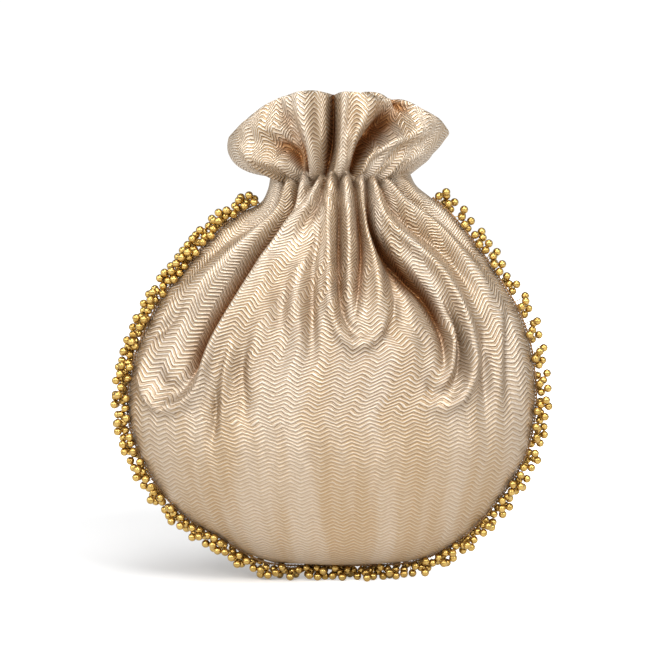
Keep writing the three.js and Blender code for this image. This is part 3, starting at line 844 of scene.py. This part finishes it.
@dataclass
class Drape:
    """How a panel's cloth lies: the filled body, its folds and the open frill.

    Lengths are millimetres. A pair of heights is where a change begins and ends.
    """

    side: Side
    rows: int = 150
    columns: int = 318
    fine: int = 3
    edge_inset: float = 0.5
    seam_half: float = 0.3
    frill_seam_half: float = 0.06
    neck_middle: float = 3.5
    # How steeply a row climbs at the seam, and how squarely its section swells at the body and,
    # by so much less, at the neck.
    row_power: float = 1.9
    fullness: float = 0.66
    fullness_lost: float = 0.20
    fullness_falls: tuple[float, float] = (150.0, 178.0)
    # How much the folds are deepened on the body, above its middle, at the shoulder and on the frill.
    deepen: float = 1.5
    deepen_upper: float = 0.15
    deepen_shoulder: float = -0.45
    deepen_frill: float = 1.25
    upper: tuple[float, float] = (95.0, 130.0)
    shoulder: tuple[float, float] = (150.0, 176.0)
    # Folds that start above this height run straight on into the neck.
    straight_above: float = 178.0
    # The depths of fold at which the painted fold shade begins and at which it is full.
    fold_shade_depth: tuple[float, float] = (2.5, 11.0)
    # How much more the frill's folds count towards the painted fold shade.
    frill_fold_shade: float = 1.3
    # How much of the crowding along the mouth's edge is evened out.
    evening: float = 0.4
    # The cut cloth's half width at shares of the height from the underside to the neck.
    cut: Route = (
        (0, 26.5), (0.03, 42), (0.07, 56), (0.13, 69), (0.2, 81), (0.28, 90), (0.37, 96.5),
        (0.46, 99.5), (0.56, 99), (0.7, 96), (0.84, 93), (1, 91),
    )
    # How far up the seam a row ends, at shares of the height of the row's middle.
    climb: Route = (
        (0, 0), (0.079, 0.071), (0.139, 0.138), (0.238, 0.246), (0.343, 0.363), (0.436, 0.484),
        (0.551, 0.627), (0.676, 0.774), (0.797, 0.877), (0.887, 0.944), (0.946, 0.977), (1, 1),
    )
    # How much further the ribs climb towards the sides than the rows do, at shares of the neck's
    # height on the flat cloth. Below 0 they sink.
    rib_climb: Route = ((0, 0), (0.5, 0), (0.7, -6), (0.85, -13), (1, -16), (1.2, -16))
    # The middle of the panel from the side, as (depth, z), from the underside to the neck.
    profile: Route = (
        (0.5, 7.4), (8, 7.9), (15, 11), (22.5, 20), (29, 38), (33, 58), (34, 76), (32.5, 98), (29, 122),
        (24.5, 145), (21.5, 162), (20, 173), (19.2, 180), (14.5, 184.5),
    )
    frill_height: float = 39.0

    def heights(self) -> tuple[Points, int]:
        """Spaces the rows.

        Returns:
            The rows' heights on the flat cloth and the number of rows up to the neck.
        """
        total = self.neck_height()
        body_rows = round(self.rows * total / (total + self.frill_height))
        body = np.linspace(0, total, body_rows)
        frill = total + np.linspace(0, self.frill_height, self.rows - body_rows + 1)[1:]
        return np.concatenate([body, frill]), body_rows

    def neck_height(self) -> float:
        """The neck's height on the flat cloth."""
        return float(lengths_along(spline(self.profile, 12))[-1])

    def half_widths(self, heights: Points) -> Points:
        """The cut cloth's half width at heights on the flat cloth."""
        curve = spline(self.cut, 12)
        return np.interp(heights / self.neck_height(), curve[:, 0], curve[:, 1])

    def cut_size(self) -> tuple[float, float, float]:
        """Measures the cut cloth.

        Returns:
            Its greatest width and its length in metres, and its area in square metres.
        """
        heights = self.heights()[0]
        half = self.half_widths(heights)
        area = float(np.sum(np.diff(heights) * (half[1:] + half[:-1])))
        return 2 * float(half.max()) * MM, float(heights[-1]) * MM, area * MM**2

    def smooth_body(self, heights: Points, seam: Seam) -> Points:
        """The filled bag without folds: a fine grid of points from the underside to the neck.

        Args:
            heights: The rows' heights on the flat cloth.
            seam: The sewn seam.

        Returns:
            Points in an array of rows by fine columns by 3, with depth as a positive Y.
        """
        count = self.columns * self.fine
        share = np.linspace(-1, 1, count)
        middle = sample(spline(self.profile, 12), heights)
        table = spline(self.climb, 8)
        climbed = np.interp(heights / heights[-1], table[:, 0], table[:, 1])
        ends = []
        for right in (False, True):
            edge = seam.inset_side(right, self.edge_inset)
            ends.append(sample(edge, climbed * lengths_along(edge)[-1]))
        bottom = seam.inset_bottom(count, self.edge_inset)
        rise = np.abs(share) ** self.row_power
        rows = []
        for i, (depth, level) in enumerate(middle):
            left, right = ends[0][i], ends[1][i]
            x = left[0] + (right[0] - left[0]) * (share + 1) / 2
            sides = np.where(share < 0, left[1], right[1])
            z = level + (sides - level) * rise
            if i == 0:
                z = np.interp(x, bottom[:, 0], bottom[:, 1])
            fullness = self.fullness - self.fullness_lost * smoothstep(*self.fullness_falls, level)
            y = self.seam_half + (depth - self.seam_half) * (1 - share**2) ** fullness
            rows.append(np.stack([x, y, z], axis=1))
        return np.stack(rows)

    def lift(self, folds: Sequence[Fold], x: Points, z: Points, start: Optional[float]) -> Points:
        """How far folds lift the cloth. The back panel's folds mirror the front's.

        Args:
            folds: The folds.
            x: The places' x.
            z: The places' z.
            start: The height from which a fold goes on straight past its first point, if any.

        Returns:
            The lift at each place.
        """
        lifted = np.zeros_like(x)
        if self.side is Side.BACK:
            x = 2 * self.neck_middle - x
        for fold in folds:
            near, height = fold.lift(x, z, start)
            lifted[near] += height
        return lifted

    def body(self, heights: Points, seam: Seam) -> tuple[Points, Points, Points]:
        """The folded body and neck.

        Args:
            heights: The rows' heights on the flat cloth.
            seam: The sewn seam.

        Returns:
            The points, evenly spaced along every row, the folds' lift at each, and how far across
            the neck each point of the last row is, from -1 to 1.
        """
        smooth = self.smooth_body(heights, seam)
        level = smooth[..., 2]
        lift = self.lift(BODY_FOLDS, smooth[..., 0], level, self.straight_above)
        share = np.linspace(-1, 1, smooth.shape[1])
        # The folds fade out at the seam and at the underside.
        lift *= (1 - np.abs(share) ** 24) * smoothstep(0, 12, heights)[:, None]
        lift *= (
            self.deepen
            + self.deepen_upper * smoothstep(*self.upper, level)
            + self.deepen_shoulder * smoothstep(*self.shoulder, level)
        )
        normal = grid_normals(smooth)
        normal *= np.sign(normal[len(heights) // 2, smooth.shape[1] // 2, 1])
        folded = smooth + normal * lift[..., None]
        folded[..., 1] = np.maximum(folded[..., 1], self.seam_half)
        shares = np.broadcast_to(share, lift.shape)
        both = np.concatenate([folded, lift[..., None], shares[..., None]], axis=2)
        rows = []
        for row in both:
            at = lengths_along(row[:, :3])
            even = np.linspace(0, at[-1], self.columns)
            rows.append(np.stack([np.interp(even, at, row[:, k]) for k in range(5)], axis=1))
        made = np.stack(rows)
        return made[..., :3], made[..., 3], made[-1, :, 4]

    def frill(self, neck_row: Points, neck_share: Points, rows: int) -> tuple[Points, Points]:
        """The frill above the neck, which opens from the pinched row to the mouth.

        Args:
            neck_row: The points of the pinched row.
            neck_share: How far across the neck each of them is, from -1 to 1.
            rows: The number of rows up to the mouth.

        Returns:
            The points and the folds' lift at each.
        """
        mouth = spline(MOUTHS[self.side], 10)
        origin = np.interp(neck_share, (-1, 1), mouth[[0, -1], 3])
        edge = np.stack([np.interp(origin, mouth[:, 3], mouth[:, k]) for k in range(3)], axis=1)
        edge = self._spread(edge)
        outward = edge - neck_row
        outward[:, 2] = 0
        climb = edge[:, 2] - neck_row[:, 2]
        # The cloth leaves the neck outwards and low, its left end further out than its right one.
        first = neck_row + outward * 0.62
        first[:, 0] += outward[:, 0] * np.interp(neck_share, (-1, 0, 1), (0.30, 0.0, -0.24))
        first[:, 1] += 4.0 * (1 - np.abs(neck_share) ** 10)
        first[:, 2] += climb * 0.05
        first[:, 2] += climb * np.interp(neck_share, (0.5, 1), (0.0, 0.22))
        # It reaches the mouth from just outside, except at the right end, which leans out.
        second = edge + outward * np.interp(neck_share, (-1, 0.5, 1), (0.10, 0.10, -0.30))[:, None]
        second[:, 2] -= climb * np.interp(neck_share, (0.5, 1), (0.45, 0.36))
        t = np.linspace(0, 1, rows + 1)[1:, None, None]
        made = neck_row * (1 - t) ** 3 + 3 * first * t * (1 - t) ** 2
        made = made + 3 * second * t**2 * (1 - t) + edge * t**3
        lift = self.lift(FRILL_FOLDS, made[..., 0], made[..., 2], None)
        share = np.linspace(-1, 1, self.columns)
        lift *= self.deepen_frill * (1 - np.abs(share) ** 12) * smoothstep(0.0, 0.12, t[..., 0])
        # Folds stand out from the neck's middle, and mostly to the front.
        radial = unit((made - np.array([self.neck_middle, 0.0, 0.0])) * np.array([1.0, 1.0, 0.0]))
        made = made + unit(radial * np.array([0.45, 1.0, 1.0])) * lift[..., None]
        made[..., 1] = np.maximum(made[..., 1], self.seam_half)
        made[:, [0, -1], 1] = np.minimum(made[:, [0, -1], 1], self.frill_seam_half)
        return made, lift

    def _spread(self, edge: Points) -> Points:
        """Evens out some of the crowding of points along an edge.

        Args:
            edge: The points.

        Returns:
            As many points on the same line.
        """
        at = lengths_along(edge)
        even = np.linspace(0, at[-1], len(edge))
        wanted = at * (1.0 - self.evening) + even * self.evening
        return np.stack([np.interp(wanted, at, edge[:, k]) for k in range(3)], axis=1)

    def build(self, seam: Seam) -> tuple[Points, Points, Points]:
        """The draped cloth.

        Args:
            seam: The sewn seam.

        Returns:
            The grid of points with a positive Y, the flat cloth's coordinates of the same grid, and
            the share of painted fold shade at each point, from 0 to 1, by how deep it lies in a fold.
        """
        heights, body_rows = self.heights()
        body, body_lift, neck_share = self.body(heights[:body_rows], seam)
        frill, frill_lift = self.frill(body[-1], neck_share, self.rows - body_rows)
        grid = np.concatenate([body, frill])
        lift = np.concatenate([body_lift, frill_lift * self.frill_fold_shade])
        # The painted shade in the folds, from how deep each point lies in one.
        painted_fold_shade = smoothstep(*self.fold_shade_depth, -lift)
        share = np.linspace(-1, 1, self.columns)
        half = self.half_widths(heights)
        climb = spline(self.rib_climb, 8)
        extra = np.interp(heights / self.neck_height(), climb[:, 0], climb[:, 1])
        # Between the middle and the sides the ribs stay level where the rows begin to climb.
        level = grid[:, self.columns // 2, 2]
        rise = np.where(share < 0, grid[:, :1, 2], grid[:, -1:, 2]) - level[:, None]
        rise *= 1 - smoothstep(*self.shoulder, level)[:, None]
        level_ribs = np.abs(share) ** self.row_power * (1 - smoothstep(0.4, 0.95, np.abs(share)))
        up = heights[:, None] - extra[:, None] * share**2 + rise * level_ribs
        flat = np.stack([half[:, None] * share, up], axis=-1)
        return grid, flat, painted_fold_shade


class ClothMesh:
    """Turns a grid of cloth into a thick mesh that carries the flat cloth's coordinates."""

    FLAT_UV = "flat_cloth"
    # The attribute that holds the share of painted fold shade at each point.
    PAINTED_FOLD_SHADE = "painted_fold_shade"
    UV_MM = 100.0  # millimetres to one unit of the flat coordinates
    THICKNESS = 0.7
    SEAM_GAP = 0.04  # how far the inner side stops short of the plane between the panels

    def __init__(self, name: str, grid: Points, flat: Points, painted_fold_shade: Points, side: Side) -> None:
        """Keeps the grid in the bag's frame.

        Args:
            name: The piece's name.
            grid: Points in millimetres, with a positive Y towards the outside.
            flat: The flat coordinates of the same points, in millimetres.
            painted_fold_shade: The share of painted fold shade at each point, from 0 to 1, by its depth in a
                fold.
            side: Which panel it is.
        """
        self.name = name
        self.side = side
        self.flat = flat
        self.painted_fold_shade = painted_fold_shade
        self.outer = grid * np.array([1.0, side.value, 1.0])
        normal = grid_normals(self.outer) * (1.0 if side is Side.FRONT else -1.0)
        self.inner = self.outer - normal * self.THICKNESS
        self.inner[..., 1] = side.value * np.maximum(self.inner[..., 1] * side.value, self.SEAM_GAP)

    def build(self, material: bpy.types.Material) -> bpy.types.Object:
        """Makes both sides of the cloth and joins them at its four edges.

        Args:
            material: The cloth's finish.

        Returns:
            The object.
        """
        rows, columns = self.outer.shape[:2]
        vertices = np.concatenate([self.outer.reshape(-1, 3), self.inner.reshape(-1, 3)]) * MM
        ids = np.arange(rows * columns).reshape(rows, columns)
        behind = ids + rows * columns
        quads = [
            self._quads(ids[:-1, :-1], ids[:-1, 1:], ids[1:, 1:], ids[1:, :-1]),
            self._quads(behind[:-1, :-1], behind[1:, :-1], behind[1:, 1:], behind[:-1, 1:]),
            self._quads(ids[0, :-1], behind[0, :-1], behind[0, 1:], ids[0, 1:]),
            self._quads(ids[-1, :-1], ids[-1, 1:], behind[-1, 1:], behind[-1, :-1]),
            self._quads(ids[:-1, 0], ids[1:, 0], behind[1:, 0], behind[:-1, 0]),
            self._quads(ids[:-1, -1], behind[:-1, -1], behind[1:, -1], ids[1:, -1]),
        ]
        faces = np.concatenate(quads)
        if self.side is Side.BACK:
            faces = faces[:, ::-1]
        mesh = bpy.data.meshes.new(self.name)
        mesh.from_pydata(vertices.tolist(), [], faces.tolist())
        flat = np.concatenate([self.flat.reshape(-1, 2)] * 2) / self.UV_MM
        layer = mesh.uv_layers.new(name=self.FLAT_UV)
        corners = np.zeros(len(mesh.loops), np.int32)
        mesh.loops.foreach_get("vertex_index", corners)
        layer.data.foreach_set("uv", flat[corners].ravel())
        # The share of painted fold shade at each point, kept for the material.
        depth = mesh.attributes.new(self.PAINTED_FOLD_SHADE, "FLOAT", "POINT")
        depth.data.foreach_set("value", np.concatenate([self.painted_fold_shade.ravel()] * 2))
        mesh.shade_smooth()
        made = bpy.data.objects.new(self.name, mesh)
        bpy.context.scene.collection.objects.link(made)
        made.data.materials.append(material)
        return made

    @staticmethod
    def _quads(a: Points, b: Points, c: Points, d: Points) -> Points:
        """Faces from four arrays of corners."""
        return np.stack([a.ravel(), b.ravel(), c.ravel(), d.ravel()], axis=1)


@dataclass
class Panel:
    """One panel of the bag, with its body, neck and frill in one cut of cloth."""

    side: Side
    node: str
    name: str

    def build(self, seam: Seam, material: bpy.types.Material) -> bpy.types.Object:
        """Drapes the cloth and makes the piece.

        Args:
            seam: The sewn seam.
            material: The cloth's finish.

        Returns:
            The piece.
        """
        drape = Drape(self.side)
        grid, flat, painted_fold_shade = drape.build(seam)
        piece = ClothMesh(self.name, grid, flat, painted_fold_shade, self.side).build(material)
        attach(piece, "root")
        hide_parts(self.node)
        width, length, area = drape.cut_size()
        LOG.info("%s: cut %.4f m by %.4f m, %.5f m2", self.name, width, length, area)
        return piece


# ---- Beads, thread and cord -----------------------------------------------------------------


class Solids:
    """Gathers balls and tubes, in millimetres, into one mesh."""

    # Directions that no pole and no tube's start has, to measure a turn from.
    ASKEW = (0.31, 0.55, 0.78)
    ASKEW_OF_TUBES = (0.12, 0.93, 0.35)

    def __init__(self) -> None:
        """Starts empty."""
        self.vertices: list[Points] = []
        self.faces: list[Sequence[int]] = []
        self.count = 0

    def ball(self, centre: Points, radius: float, pole: Points, around: int = 18, rows: int = 11) -> None:
        """Adds a ball.

        Args:
            centre: Its centre.
            radius: Its radius.
            pole: The direction of its poles.
            around: The faces round it.
            rows: The rows of faces from pole to pole.
        """
        pole = unit(np.asarray(pole, float))
        side = unit(np.cross(pole, self.ASKEW))
        other = np.cross(pole, side)
        points = [centre + pole * radius]
        for i in range(1, rows):
            tilt = math.pi * i / rows
            for k in range(around):
                turn = 2 * math.pi * k / around
                level = side * math.cos(turn) + other * math.sin(turn)
                points.append(centre + (pole * math.cos(tilt) + level * math.sin(tilt)) * radius)
        points.append(centre - pole * radius)
        base, last = self.count, self.count + len(points) - 1
        for k in range(around):
            after = (k + 1) % around
            self.faces.append((base, base + 1 + k, base + 1 + after))
            for i in range(rows - 2):
                low = base + 1 + i * around
                self.faces.append((low + k, low + around + k, low + around + after, low + after))
            ring = last - around
            self.faces.append((last, ring + after, ring + k))
        self._add(np.array(points))

    def tube(self, line: Points, radius: float, around: int = 8, closed: bool = False) -> None:
        """Adds a round tube.

        Args:
            line: The points that its middle follows.
            radius: Its radius.
            around: The faces round it.
            closed: Whether it is a closed loop, without the flat ends.
        """
        line = np.asarray(line, float)
        if closed:
            along = unit(np.roll(line, -1, axis=0) - np.roll(line, 1, axis=0))
        else:
            along = unit(np.gradient(line, axis=0))
        side = unit(np.cross(along[0], self.ASKEW_OF_TUBES))
        rings = []
        for point, way in zip(line, along):
            side = unit(side - way * float(side @ way))
            other = np.cross(way, side)
            turns = 2 * math.pi * np.arange(around)[:, None] / around
            rings.append(point + radius * (np.cos(turns) * side + np.sin(turns) * other))
        base, total = self.count, len(line)
        for i in range(total if closed else total - 1):
            here, there = base + i * around, base + ((i + 1) % total) * around
            for k in range(around):
                after = (k + 1) % around
                self.faces.append((here + k, here + after, there + after, there + k))
        if not closed:
            self.faces.append(tuple(base + k for k in range(around))[::-1])
            self.faces.append(tuple(base + (total - 1) * around + k for k in range(around)))
        self._add(np.concatenate(rings))

    def build(self, name: str, node: str, slot: str, material: bpy.types.Material) -> bpy.types.Object:
        """Makes the piece.

        Args:
            name: Its name.
            node: The CAD node that it shows in place of.
            slot: The record's material slot; not used.
            material: Its finish.

        Returns:
            The piece.
        """
        mesh = bpy.data.meshes.new(name)
        mesh.from_pydata((np.concatenate(self.vertices) * MM).tolist(), [], self.faces)
        mesh.shade_smooth()
        made = bpy.data.objects.new(name, mesh)
        bpy.context.scene.collection.objects.link(made)
        made.data.materials.append(material)
        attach(made, "root")
        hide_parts(node)
        return made

    def _add(self, points: Points) -> None:
        """Keeps new vertices."""
        self.vertices.append(points)
        self.count += len(points)


@dataclass
class BeadTrim:
    """Small gold beads crowded along the seam, hung on wire loops, a cluster at a time."""

    clusters: int = 42
    radius: float = 1.86
    gap: float = 0.05
    seed: int = 11
    # How near a bead may come: its surface to the seam, and its centre, measured outwards, when it
    # hangs in front of or behind the cloth.
    clear_of_seam: float = 0.45
    nearest: float = 0.5
    # The share of a cluster's length of seam that its beads start on.
    spread: float = 0.74
    # Where a cluster's beads start: how far out, in turn, and how far in front of or behind the seam.
    layers: Numbers = (1.4, 3.8, 1.0, 2.2, 3.4, 6.0)
    layer_play: tuple[float, float] = (-0.4, 0.6)
    aside: tuple[float, float] = (-4.0, 3.4)
    count_play: float = 1.2
    # How they are then moved apart: the rounds, those in which strays are drawn in, the share of
    # each overlap that a round takes out, and how far out and aside a bead may end.
    rounds: int = 220
    drawing_rounds: int = 160
    push: float = 0.42
    most_out: float = 5.6
    most_aside: float = 8.0
    wire: float = 0.22
    wire_play: float = 0.9
    wire_lowest: float = 0.6
    # Beads to a cluster, at shares of the way from the neck's left side round to its right.
    crowding: Route = (
        (0, 12), (0.08, 13), (0.2, 12), (0.33, 10), (0.45, 11), (0.55, 11), (0.64, 8), (0.75, 8),
        (0.85, 6), (1, 6),
    )

    def build(self, seam: Seam, material: bpy.types.Material) -> list[bpy.types.Object]:
        """Makes every cluster.

        Args:
            seam: The sewn seam.
            material: The beads' finish.

        Returns:
            The pieces, from the neck's left side round to its right.
        """
        centres, owner = self._place(seam)
        LOG.info("beads: %d in %d clusters", len(centres), self.clusters)
        rng = np.random.default_rng(self.seed + 1)
        line = seam.line()
        pieces = []
        for cluster in range(self.clusters):
            own = centres[owner == cluster]
            solids = Solids()
            for centre in own:
                solids.ball(centre, self.radius, rng.normal(size=3))
            self._wires(solids, own, line, rng)
            number = f"{cluster + 1:02d}"
            piece = solids.build(f"beads_{number}", f"bead_cluster_{number}", "gold_beads", material)
            pieces.append(piece)
        return pieces

    def _place(self, seam: Seam) -> tuple[Points, Points]:
        """Crowds the beads along the seam without letting them overlap.

        Args:
            seam: The sewn seam.

        Returns:
            The beads' centres and the number of each one's cluster.
        """
        rng = np.random.default_rng(self.seed)
        line = seam.line()
        end = 0.3 / lengths_along(line)[-1]
        shares, counts = zip(*self.crowding)
        centres, owner = [], []
        for cluster in range(self.clusters):
            expected = float(np.interp((cluster + 0.5) / self.clusters, shares, counts))
            count = int(round(expected + rng.uniform(-self.count_play, self.count_play)))
            for k in range(count):
                across = (k + rng.uniform(0.1, 0.9)) / count - 0.5
                at = (cluster + 0.5 + across * self.spread) / self.clusters
                point, outward = seam.at(float(np.clip(at, end, 1 - end)))
                layer = self.layers[k % len(self.layers)] + rng.uniform(*self.layer_play)
                aside = rng.uniform(*self.aside)
                centres.append(point + outward * layer + np.array([0.0, aside, 0.0]))
                owner.append(cluster)
        centres, owner = np.array(centres), np.array(owner)
        for step in range(self.rounds):
            centres = self._push_apart(centres, line, step < self.drawing_rounds)
        return centres, owner

    def _push_apart(self, centres: Points, line: Points, draw_in: bool) -> Points:
        """One round of moving beads out of each other, the cloth and the table.

        Args:
            centres: The beads' centres.
            line: The seam's route as (x, z).
            draw_in: Whether strays are drawn in towards the seam too.

        Returns:
            The moved centres.
        """
        apart = centres[:, None] - centres[None]
        distance = np.linalg.norm(apart, axis=2) + np.eye(len(centres)) * 1e3
        overlap = np.maximum(2 * self.radius + self.gap - distance, 0.0)
        moved = centres + (apart / distance[..., None] * overlap[..., None] * self.push).sum(axis=1)
        flat = moved[:, [0, 2]]
        nearest = np.argmin(((flat[:, None] - line[None]) ** 2).sum(axis=2), axis=1)
        along = unit(np.gradient(line, axis=0))[nearest]
        outward = np.stack([along[:, 1], -along[:, 0]], axis=1)
        out = ((flat - line[nearest]) * outward).sum(axis=1)
        reach = self.clear_of_seam + self.radius
        lowest = np.sqrt(np.maximum(reach**2 - moved[:, 1] ** 2, self.nearest**2))
        flat = flat + outward * np.maximum(lowest - out, 0.0)[:, None]
        if draw_in:
            flat = flat - outward * np.clip(out - self.most_out, 0.0, 1.0)[:, None]
        moved[:, 0], moved[:, 2] = flat[:, 0], np.maximum(flat[:, 1], self.radius)
        moved[:, 1] = np.clip(moved[:, 1], -self.most_aside, self.most_aside)
        return moved

    def _wires(self, solids: Solids, centres: Points, line: Points, rng: np.random.Generator) -> None:
        """Adds the wire that runs from the seam to each bead.

        Args:
            solids: The cluster's solids.
            centres: Its beads' centres.
            line: The seam's route as (x, z).
            rng: The source of the wires' bends.
        """
        for centre in centres:
            near = line[np.argmin(((line - centre[[0, 2]]) ** 2).sum(axis=1))]
            start = np.array([near[0], 0.0, near[1]])
            bend = (start + centre) / 2 + rng.normal(size=3) * self.wire_play
            bend[2] = max(bend[2], self.wire_lowest)
            solids.tube(spline([start, bend, centre], 4), self.wire, 5)


@dataclass
class SeamThread:
    """Two strands of brown thread, twisted along the seam."""

    strand: float = 0.33  # a strand's radius
    twist: float = 0.28  # a strand's distance from the thread's middle
    turn: float = 3.0  # the length of one whole turn
    step: float = 0.7

    def build(self, seam: Seam, material: bpy.types.Material) -> bpy.types.Object:
        """Makes the thread.

        Args:
            seam: The sewn seam.
            material: The thread's finish.

        Returns:
            The piece.
        """
        line = seam.line()
        total = lengths_along(line)[-1]
        at = np.linspace(0, total, int(total / self.step))
        route = sample(line, at)
        along = unit(np.gradient(route, axis=0))
        solids = Solids()
        for strand in (0.0, math.pi):
            turn = 2 * math.pi * at / self.turn + strand
            out, aside = np.cos(turn) * self.twist, np.sin(turn) * self.twist
            x, z = route[:, 0] + along[:, 1] * out, route[:, 1] - along[:, 0] * out
            solids.tube(np.stack([x, aside, z], axis=1), self.strand, 6)
        return solids.build("seam_thread", "trim_cord", "trim_thread", material)


@dataclass
class NeckCord:
    """The drawcord's closed loop inside the neck, braided from three strands."""

    middle: float = 3.5
    half: float = 25.0  # half its width from side to side
    deep: float = 7.0  # half its depth from front to back
    z: float = 180.5
    strand: float = 0.72
    twist: float = 0.7
    turns: int = 30
    strands: int = 3
    samples: int = 420

    def build(self, material: bpy.types.Material) -> bpy.types.Object:
        """Makes the cord.

        Args:
            material: The cord's finish.

        Returns:
            The piece.
        """
        solids = Solids()
        angle = np.linspace(0, 2 * math.pi, self.samples, endpoint=False)
        for strand in range(self.strands):
            turn = angle * self.turns + strand * 2 * math.pi / self.strands
            out = np.cos(turn) * self.twist
            x = self.middle + (self.half + out) * np.cos(angle)
            y = (self.deep + out) * np.sin(angle)
            z = self.z + np.sin(turn) * self.twist
            solids.tube(np.stack([x, y, z], axis=1), self.strand, 6, closed=True)
        return solids.build("drawcord_loop", "neck_drawcord", "drawcord", material)


# ---- Studio ---------------------------------------------------------------------------------


@dataclass(frozen=True)
class SoftLight:
    """A square light that faces the bag. Its place and size are metres, its power watts."""

    name: str
    place: tuple[float, float, float]
    size: float
    power: float


@dataclass
class Studio:
    """A pale floor, six soft lights and the camera. Lengths are metres."""

    floor_size: float = 6.0
    look_at: tuple[float, float, float] = (-0.0011, 0.0, 0.1134)
    distance: float = 1.0
    elevation: float = math.radians(4.0)
    lens: float = 121.0
    sensor: float = 36.0
    ambient: float = 0.42
    backdrop: float = 1.05
    lights: tuple[SoftLight, ...] = (
        SoftLight("key_left", (-0.62, -0.95, 0.66), 0.46, 7.3),
        SoftLight("key_right", (0.70, -0.92, 0.62), 0.40, 5.4),
        SoftLight("side_left", (-1.15, -0.25, 0.60), 0.90, 6.5),
        SoftLight("side_right", (1.15, -0.30, 0.65), 0.90, 3.5),
        SoftLight("top", (0.05, -0.45, 1.20), 0.70, 9.0),
        SoftLight("front", (0.00, -1.35, 0.85), 0.50, 4.5),
    )

    def build(self) -> None:
        """Makes everything around the bag."""
        self._floor()
        self._world()
        for light in self.lights:
            self._hang(light)
        self._camera()
        bpy.context.scene.view_settings.view_transform = "Standard"

    def _floor(self) -> None:
        """Lays the floor."""
        half = self.floor_size / 2
        mesh = bpy.data.meshes.new("studio_floor")
        corners = [(-half, -half, 0), (half, -half, 0), (half, half, 0), (-half, half, 0)]
        mesh.from_pydata(corners, [], [(0, 1, 2, 3)])
        floor = bpy.data.objects.new("studio_floor", mesh)
        bpy.context.scene.collection.objects.link(floor)
        floor.data.materials.append(StudioFloor().material())

    def _world(self) -> None:
        """Fills the surroundings: white where the camera looks past the floor, dim for reflections."""
        g = Graph(bpy.data.worlds.new("studio"))
        white = (1.0, 1.0, 1.0, 1.0)
        dim, seen = (
            g.node("ShaderNodeBackground", {}, {"Color": white, "Strength": strength})
            for strength in (self.ambient, self.backdrop)
        )
        by_camera = g.node("ShaderNodeLightPath", {}, {}, "Is Camera Ray")
        both = g.node("ShaderNodeMixShader", {}, {0: by_camera, 1: dim, 2: seen})
        bpy.context.scene.world = g.finish(both, "ShaderNodeOutputWorld")

    def _hang(self, light: SoftLight) -> None:
        """Hangs one light.

        Args:
            light: The light.
        """
        data = bpy.data.lights.new(light.name, "AREA")
        data.energy = light.power
        data.size = light.size
        lamp = bpy.data.objects.new(light.name, data)
        bpy.context.scene.collection.objects.link(lamp)
        lamp.location = light.place
        self._face(lamp, self.look_at)

    def _camera(self) -> None:
        """Sets up the camera in front of the bag."""
        data = bpy.data.cameras.new("camera")
        data.lens = self.lens
        data.sensor_width = self.sensor
        camera = bpy.data.objects.new("camera", data)
        bpy.context.scene.collection.objects.link(camera)
        x, y, z = self.look_at
        back = self.distance * math.cos(self.elevation)
        camera.location = (x, y - back, z + self.distance * math.sin(self.elevation))
        self._face(camera, self.look_at)
        bpy.context.scene.camera = camera

    @staticmethod
    def _face(thing: bpy.types.Object, target: tuple[float, float, float]) -> None:
        """Turns a light or camera towards a point."""
        way = Vector(target) - Vector(thing.location)
        thing.rotation_euler = way.to_track_quat("-Z", "Y").to_euler()


# ---- The bag --------------------------------------------------------------------------------


def main() -> None:
    """Builds the bag, piece by piece, and the studio around it."""
    logging.basicConfig(level=logging.INFO, format="%(message)s")
    seam = Seam()
    cloth = ZigzagCloth().material()
    thread = Thread("brown_thread", (0.34, 0.19, 0.07), (0.16, 0.08, 0.03)).material()
    cord = Thread("braided_cord", (0.62, 0.45, 0.25), (0.35, 0.22, 0.10)).material()
    pieces = [
        Panel(Side.FRONT, "front_panel", "front_cloth").build(seam, cloth),
        Panel(Side.BACK, "back_panel", "back_cloth").build(seam, cloth),
        SeamThread().build(seam, thread),
        NeckCord().build(cord),
        *BeadTrim().build(seam, GoldBead().material()),
    ]
    for piece in pieces:
        LOG.info("%s: %d faces", piece.name, len(piece.data.polygons))
    Studio().build()


if __name__ == "__main__":
    main()
